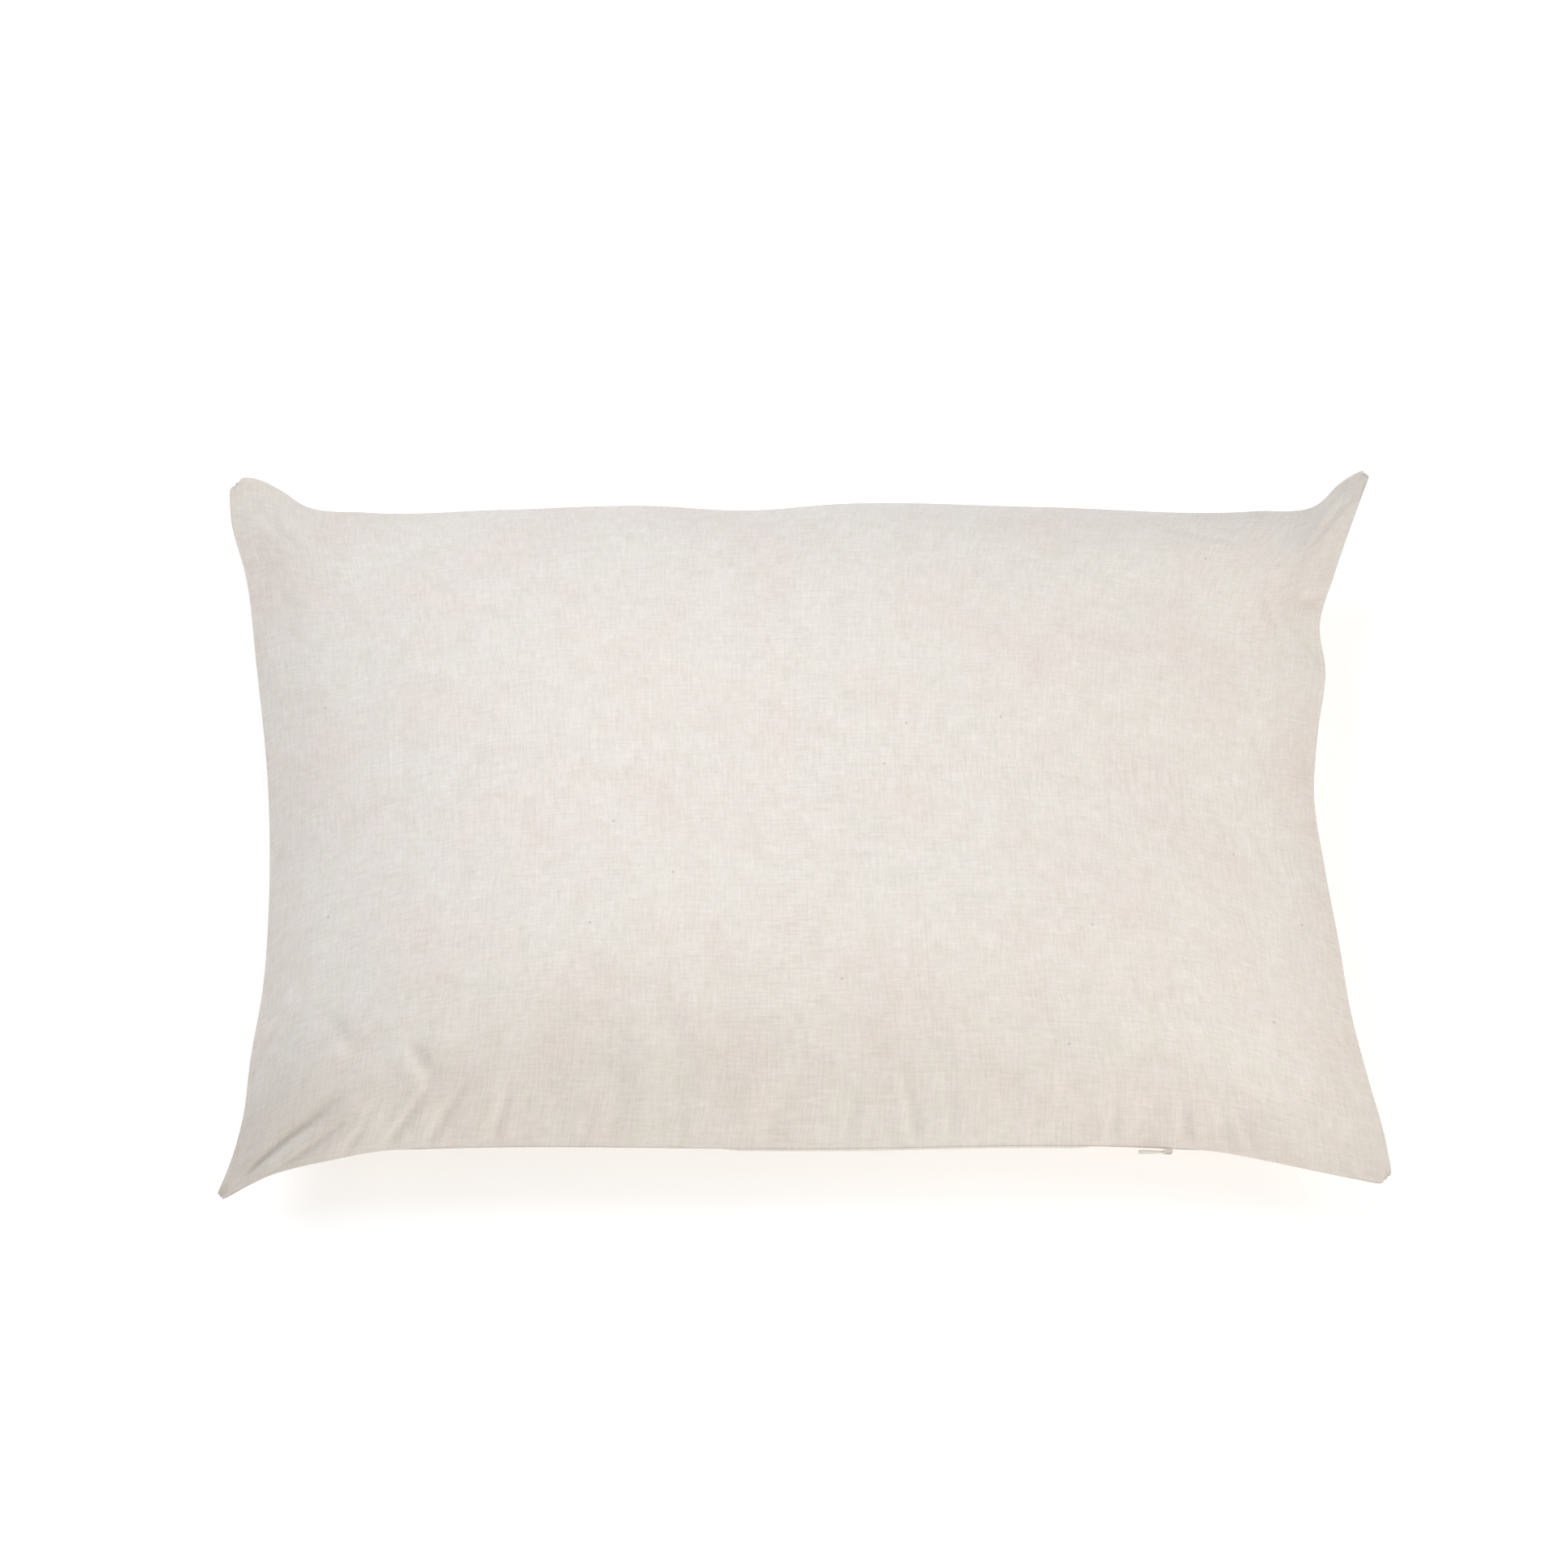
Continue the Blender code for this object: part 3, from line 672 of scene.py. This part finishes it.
def spun(name, colour, shade, roughness, twist):
    """Thread or cord: two tones in turns along it."""
    made, tree, shader = material(name, Roughness=roughness, Sheen_Weight=0.15,
                                  Specular_IOR_Level=0.3)
    place = node(tree, "TexCoord").outputs["Object"]
    wave = node(tree, "TexWave", {"Vector": place, "Scale": 1 / twist, "Distortion": 1.5,
                                  "Detail": 2.0}, bands_direction="DIAGONAL").outputs["Fac"]
    tree.links.new(blend(tree, srgb(colour), srgb(shade), wave), shader.inputs["Base Color"])
    bump = node(tree, "Bump", {"Height": wave, "Strength": 0.5, "Distance": 0.0001})
    tree.links.new(bump.outputs[0], shader.inputs["Normal"])
    return made


# Spun polyester thread in the linen's colour: matt, with slanting turns about 0.6 mm apart.
polyester = spun("spun_polyester_thread", "DDD5C9", "C6BDB0", 0.55, 0.001)
THREAD_STEP = OVERLOCK_PITCH / 10
raw_edge = round_the_seam(OVERLOCK_DEPTH, 0, THREAD_STEP)
sewn = (abs(raw_edge[:, 0]) > OVERLOCK_START) | (raw_edge[:, 1] > 0)
overlock = wound(raw_edge, OVERLOCK_REACH, OVERLOCK_LIFT, OVERLOCK_PITCH, THREAD_STEP)[sewn]
sewn_in(round_cord("overlock_thread", overlock, THREAD_RADIUS, polyester),
        "cover_seam_thread")


# ==== Care label ====
# A blank satin ribbon, 33 mm wide. One end is caught in the middle of the left seam, and the rest
# lies on the lower panel inside the cover.
LABEL_WIDTH = 0.033
LABEL_LENGTH = 0.046
LABEL_CLOTH = 0.0003
LABEL_REST = 0.0018      # from the outside of the cover to the middle of the ribbon
LABEL_START = ALLOWANCE - 0.002


def ribbon(name, base, shade, thread):
    """Satin or woven ribbon: fine threads along it, and a soft shine."""
    made, tree, shader = material(name, Roughness=0.42, Sheen_Weight=0.3,
                                  Specular_IOR_Level=0.45)
    cloth = node(tree, "UVMap", uv_map="cloth").outputs[0]
    grain = streaks(tree, cloth, 0.012, thread)
    tree.links.new(blend(tree, srgb(shade), srgb(base), grain), shader.inputs["Base Color"])
    bump = node(tree, "Bump", {"Height": grain, "Strength": 0.3, "Distance": 0.0001})
    tree.links.new(bump.outputs[0], shader.inputs["Normal"])
    return made


# White polyester satin, with a soft shine along its threads. They are 0.15 mm wide, and drawn
# 0.6 mm wide to show at all.
satin = ribbon("white_polyester_satin", "F2F0EB", "E0DDD6", 0.0006)
along = np.linspace(0, 1, 17)[None, :] + np.zeros((13, 1))
across = np.linspace(-1, 1, 13)[:, None] + np.zeros((1, 17))
from_left = LABEL_START + along * LABEL_LENGTH
places = from_left / (FLAT_LENGTH / 2) - 1, across * LABEL_WIDTH / FLAT_WIDTH
under, centre = place_on(form[1], *places), place_on(middle, *places)
depth = np.linalg.norm(under - centre, axis=2, keepdims=True)
reach = eased(along / 0.35)[..., None] * np.maximum(0, 1 - LABEL_REST / np.maximum(depth, 1e-6))
care_label = cloth_panel("care_label", centre + (under - centre) * reach, True, LABEL_CLOTH,
                         satin, (LABEL_LENGTH, LABEL_WIDTH))
sewn_in(care_label, "cover_care_label")


# ==== Concealed zip ====
# A nylon coil zip, 480 mm long, on polyester tapes that are sewn to the folded edges in the front
# seam. Its small parts are zinc, lacquered in the linen's colour; the pull hangs in front.
COIL_PITCH = 0.0012
COIL_WIRE = 0.00026
COIL_HALF_DEPTH = 0.00055
COIL_INNER = 0.00045     # from the middle of the chain to the inner turns of each coil
COIL_OUTER = 0.0023
COIL_STEP = COIL_PITCH / 12
TWILL = 0.0045           # gives a rib every 2.8 mm: coarser than the real ones, so that they show


def tape_cloth(name, base, shade):
    """Twill tape: slanting ribs."""
    made, tree, shader = material(name, Roughness=0.8, Sheen_Weight=0.1, Specular_IOR_Level=0.25)
    place = node(tree, "TexCoord").outputs["Object"]
    twill = node(tree, "TexWave", {"Vector": place, "Scale": 1 / TWILL, "Distortion": 0.6,
                                   "Detail": 1.0}, bands_direction="DIAGONAL").outputs["Fac"]
    tree.links.new(blend(tree, srgb(shade), srgb(base), twill), shader.inputs["Base Color"])
    bump = node(tree, "Bump", {"Height": twill, "Strength": 0.4, "Distance": 0.0002})
    tree.links.new(bump.outputs[0], shader.inputs["Normal"])
    return made


def glossy(name, base, shade, roughness, size, **finish):
    """Smooth moulded or cast stuff whose colour and gloss drift a little."""
    made, tree, shader = material(name, **finish)
    place = node(tree, "TexCoord").outputs["Object"]
    drift = node(tree, "TexNoise", {"Vector": place, "Scale": 1 / size, "Detail": 3.0})
    drift = drift.outputs["Fac"]
    tree.links.new(blend(tree, srgb(base), srgb(shade), drift), shader.inputs["Base Color"])
    tree.links.new(maths(tree, "MULTIPLY_ADD", drift, 0.12, roughness), shader.inputs["Roughness"])
    bump = node(tree, "Bump", {"Height": drift, "Strength": 0.1, "Distance": 0.00005})
    tree.links.new(bump.outputs[0], shader.inputs["Normal"])
    return made


# Nylon monofilament, dyed to match the cloth: smooth, with small bright highlights on its turns.
nylon = glossy("dyed_nylon_coil", "DFD8CD", "D2CABE", 0.28, 0.004, IOR=1.53)
# Cast zinc under a baked lacquer in the same colour: glossy, and no metal shows.
lacquer = glossy("lacquered_zinc", "D8D0C4", "CBC2B5", 0.24, 0.003, IOR=1.5, Coat_Weight=0.5,
                 Coat_Roughness=0.12)
# Woven polyester zip tape: matt, with slanting twill ribs.
tape = tape_cloth("woven_polyester_tape", "DCD4C8", "C9C0B3")

chain_y = (chain_low.y + chain_high.y) / 2
chain_x = np.arange(chain_low.x + COIL_WIRE, chain_high.x - COIL_WIRE, COIL_STEP)
for name, side in (("upper", 1), ("lower", -1)):
    line = np.zeros((len(chain_x), 3)) + (0, chain_y, SEAM_Z + side * (COIL_INNER + COIL_OUTER) / 2)
    line[:, 0] = chain_x
    coil = wound(line, COIL_HALF_DEPTH, side * ((COIL_OUTER - COIL_INNER) / 2 - COIL_WIRE),
                 COIL_PITCH, COIL_STEP)
    sewn_in(round_cord("coil_" + name, coil, COIL_WIRE, nylon), "zip_coil_" + name)
for cad_node, surface in (("zip_tape_upper", tape), ("zip_tape_lower", tape),
                          ("zip_slider", lacquer), ("zip_pull", lacquer),
                          ("zip_top_stop_upper", lacquer), ("zip_top_stop_lower", lacquer),
                          ("zip_end_stop", lacquer)):
    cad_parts[cad_node].material_slots[0].material = surface


# ==== Insert case ====
# The pillow proper: two panels of downproof cotton ticking, 0.4 mm thick, with a corded piping
# in their seam. It is a little smaller than the cover and doesn't reach into its ears.
TICKING = 0.0004
INSERT_INSET = 0.0185
ROUNDING = 0.26          # of its corners
INSERT_REST = 0.0024     # from the outside of the cover to the outside of the case
INSERT_RISE = 0.016      # how soon it fills out behind its seam
RIM_GAP = 0.00055        # half of the space between its panels at the seam


def inner_layer(cells_long, cells_wide, inset, rounding, rest, rise, rim_gap):
    """Two grids inside the cover, closed towards each other at the rim."""
    along = np.linspace(-1, 1, cells_long + 1)[None, :] + np.zeros((cells_wide + 1, 1))
    across = np.linspace(-1, 1, cells_wide + 1)[:, None] + np.zeros((1, cells_long + 1))
    rim = np.minimum(FLAT_LENGTH / 2 * (1 - abs(along)), FLAT_WIDTH / 2 * (1 - abs(across)))
    full = (1 - np.exp(-rim / rise))[..., None]
    places = drawn_in(along, across, inset, rounding)
    centre = place_on(middle, *places)
    layer = []
    for side, sign in ((0, 1), (1, -1)):
        away = place_on(form[side], *places) - centre
        depth = np.maximum(np.linalg.norm(away, axis=2, keepdims=True), 1e-6)
        share = full * np.clip(1 - (rest + rim_gap) / depth, 0, 1)
        layer.append(centre + away * share + np.array([0, 0, sign * rim_gap]))
    return np.stack(layer)


# Downproof cotton: a dense white plain weave, calendered smooth so that no feather gets through.
CASE_CELLS = 150, 100
ticking = woven("downproof_cotton", "F6F4EF", "E6E3DC", ("FDFCFF", "FFFDF8"), "CFC9BE", 0.0012,
                1.2)
case = inner_layer(*CASE_CELLS, INSERT_INSET, ROUNDING, INSERT_REST, INSERT_RISE, RIM_GAP)
CASE_LENGTH = 0.735
CASE_WIDTH = 0.480
for name, grid, lower in (("top", case[0], False), ("bottom", case[1], True)):
    panel = cloth_panel("case_" + name, grid, lower, TICKING, ticking, (CASE_LENGTH, CASE_WIDTH))
    sewn_in(panel, "insert_case_" + name)


# ==== Insert piping ====
# A cotton cord, 3 mm thick, laid in the insert's seam and sewn in all round. It stiffens the rim
# and keeps the seam from leaking down.
PIPING_RADIUS = 0.0015
PIPING_INSET = INSERT_INSET - PIPING_RADIUS
# Twisted cotton: matt, with slanting turns about 2 mm apart.
cotton_cord = spun("twisted_cotton_cord", "F0EDE6", "DDD9CF", 0.85, 0.003)
piping_line = round_the_seam(PIPING_INSET, ROUNDING, 0.004)[:-1]
sewn_in(round_cord("piping", piping_line, PIPING_RADIUS, cotton_cord, closed=True, sides=4),
        "insert_piping")


# ==== Closing stitches ====
# Whip stitches in polyester thread over the piping in the right short seam, where the insert was
# closed by hand after filling.
STITCH_PITCH = 0.0045
STITCH_REACH = 0.066     # half of the opening's length
stitch_line = round_the_seam(PIPING_INSET, ROUNDING, STITCH_PITCH / 12)
at_opening = (stitch_line[:, 0] > 0) & (abs(stitch_line[:, 1]) < STITCH_REACH)
over = PIPING_RADIUS + THREAD_RADIUS
whipped = wound(stitch_line, over, over, STITCH_PITCH, STITCH_PITCH / 12)[at_opening]
sewn_in(round_cord("closing_stitches", whipped, THREAD_RADIUS, polyester),
        "insert_closing_thread")


# ==== Insert label ====
# A blank woven label, 28 mm wide. It is caught in the insert's right seam and lies on the top of
# the case.
TAG_WIDTH = 0.028
TAG_LENGTH = 0.044
TAG_START = 0.004        # from the insert's seam
# White woven ribbon, with coarser threads than the satin one.
woven_tag = ribbon("white_woven_ribbon", "F0EEE9", "DCD8D0", 0.0009)
along = 1 - (TAG_START + TAG_LENGTH * np.linspace(1, 0, 17)) / (CASE_LENGTH / 2)
along = along[None, :] + np.zeros((11, 1))
across = np.linspace(-1, 1, 11)[:, None] * TAG_WIDTH / CASE_WIDTH + np.zeros((1, 17))
tag = place_on(case[0], along, across) + np.array([0.0002, 0, 0.0006])
insert_tag = cloth_panel("insert_tag", tag, False, LABEL_CLOTH, woven_tag, (TAG_LENGTH, TAG_WIDTH))
sewn_in(insert_tag, "insert_label")


# ==== Filling ====
# Loose feather and down, blown into the case. It fills the case but for its corners, and lies in
# soft clumps.
FILL_CELLS = 144, 96
FILL_INSET = 0.023
FILL_ROUNDING = 0.34
FILL_REST = 0.0046       # from the outside of the cover to the outside of the filling
CLUMP = 0.030
CLUMP_LIFT = 0.0008
filling = inner_layer(*FILL_CELLS, FILL_INSET, FILL_ROUNDING, FILL_REST, INSERT_RISE, 0.0)


def loose_filling(name, layer, surface):
    """One closed body over both grids, with its clumps."""
    bm = bmesh.new()
    cells_wide, cells_long = layer.shape[1] - 1, layer.shape[2] - 1
    for side in (0, 1):
        made = bmesh.ops.create_grid(bm, x_segments=cells_long, y_segments=cells_wide,
                                     size=0.5)
        if side:
            faces = {face for vert in made["verts"] for face in vert.link_faces}
            bmesh.ops.reverse_faces(bm, faces=list(faces))
        for vert in made["verts"]:
            row = round((vert.co.y + 0.5) * cells_wide)
            column = round((vert.co.x + 0.5) * cells_long)
            vert.co = layer[side, row, column]
    bmesh.ops.remove_doubles(bm, verts=bm.verts, dist=0.00001)
    for vert in bm.verts:
        vert.co.z += CLUMP_LIFT * noise.noise(vert.co / CLUMP)
    mesh = bpy.data.meshes.new(name)
    bm.to_mesh(mesh)
    bm.free()
    mesh.shade_smooth()
    mesh.materials.append(surface)
    item = bpy.data.objects.new(name, mesh)
    bpy.context.scene.collection.objects.link(item)
    return item


# White goose down and small feathers: downy clumps with curled feathers in them.
down, tree, shader = material("goose_feather_and_down", Roughness=0.95, Sheen_Weight=0.5,
                              Sheen_Roughness=0.6, Specular_IOR_Level=0.1)
place = node(tree, "TexCoord").outputs["Object"]
clumps = node(tree, "TexVoronoi", {"Vector": place, "Scale": 1 / 0.018}).outputs["Distance"]
barbs = node(tree, "TexNoise", {"Vector": place, "Scale": 1 / 0.004, "Detail": 5.0,
                                "Distortion": 1.2}).outputs["Fac"]
fluff = maths(tree, "MULTIPLY_ADD", clumps, -0.6, barbs)
tree.links.new(blend(tree, srgb("E4DFD6"), srgb("F8F6F2"), barbs), shader.inputs["Base Color"])
bump = node(tree, "Bump", {"Height": fluff, "Strength": 0.8, "Distance": 0.004})
tree.links.new(bump.outputs[0], shader.inputs["Normal"])
feathers = loose_filling("feather_filling", filling, down)
sewn_in(feathers, "fill")


# ==== Studio ====
# A white table, lit from inside, in even daylight, with soft lamps at the front right, the back
# left and the right, and a small one above. The table is brighter than the cloth, so only a trace
# of shadow shows on it.
TABLE_GLOW = 0.21
DAYLIGHT = 0.56
bpy.ops.mesh.primitive_plane_add(size=30)
table = bpy.context.object
table.name = "table"
white, tree, shader = material("white_acrylic_lightbox", Roughness=0.6)
shader.inputs["Base Color"].default_value = srgb("F9F9F9")
shader.inputs["Emission Color"].default_value = (1, 1, 1, 1)
shader.inputs["Emission Strength"].default_value = TABLE_GLOW
table.data.materials.append(white)

# Each lamp's place, size, watts and colour.
for name, place, size, power, colour in (
        ("front_right", (1.59, -1.59, 1.30), 1.2, 20.5, "FFF8EE"),
        ("back_left", (-1.30, 1.30, 1.84), 1.2, 19.0, "F0F5FF"),
        ("right", (1.99, 0, 1.67), 1.2, 7.0, "FFFFFF"),
        ("soft_box", (-0.18, 0.14, 0.85), 0.5, 1.45, "F4F8FF")):
    lamp = bpy.data.lights.new(name, "AREA")
    lamp.shape = "DISK"
    lamp.size = size
    lamp.energy = power
    lamp.color = srgb(colour)[:3]
    light = bpy.data.objects.new(name, lamp)
    light.location = place
    light.rotation_euler = (Vector((0, 0, 0.05)) - Vector(place)).to_track_quat("-Z", "Y").to_euler()
    bpy.context.scene.collection.objects.link(light)
world = bpy.data.worlds.new("studio")
world.use_nodes = True
world.node_tree.nodes["Background"].inputs["Color"].default_value = srgb("FDFEFF")
world.node_tree.nodes["Background"].inputs["Strength"].default_value = DAYLIGHT
bpy.context.scene.world = world
bpy.context.scene.view_settings.view_transform = "Standard"

TARGET = Vector((-0.010, 0.0254, 0.060))
DISTANCE = 6.0
ELEVATION = math.radians(65)
FIELD = 1.01527           # width that the camera takes in at its target
camera_data = bpy.data.cameras.new("camera")
camera_data.sensor_width = 36
camera_data.lens = 36 * DISTANCE / FIELD
camera = bpy.data.objects.new("camera", camera_data)
camera.location = TARGET + DISTANCE * Vector((0, -math.cos(ELEVATION), math.sin(ELEVATION)))
camera.rotation_euler = (TARGET - camera.location).to_track_quat("-Z", "Y").to_euler()
bpy.context.scene.collection.objects.link(camera)
bpy.context.scene.camera = camera
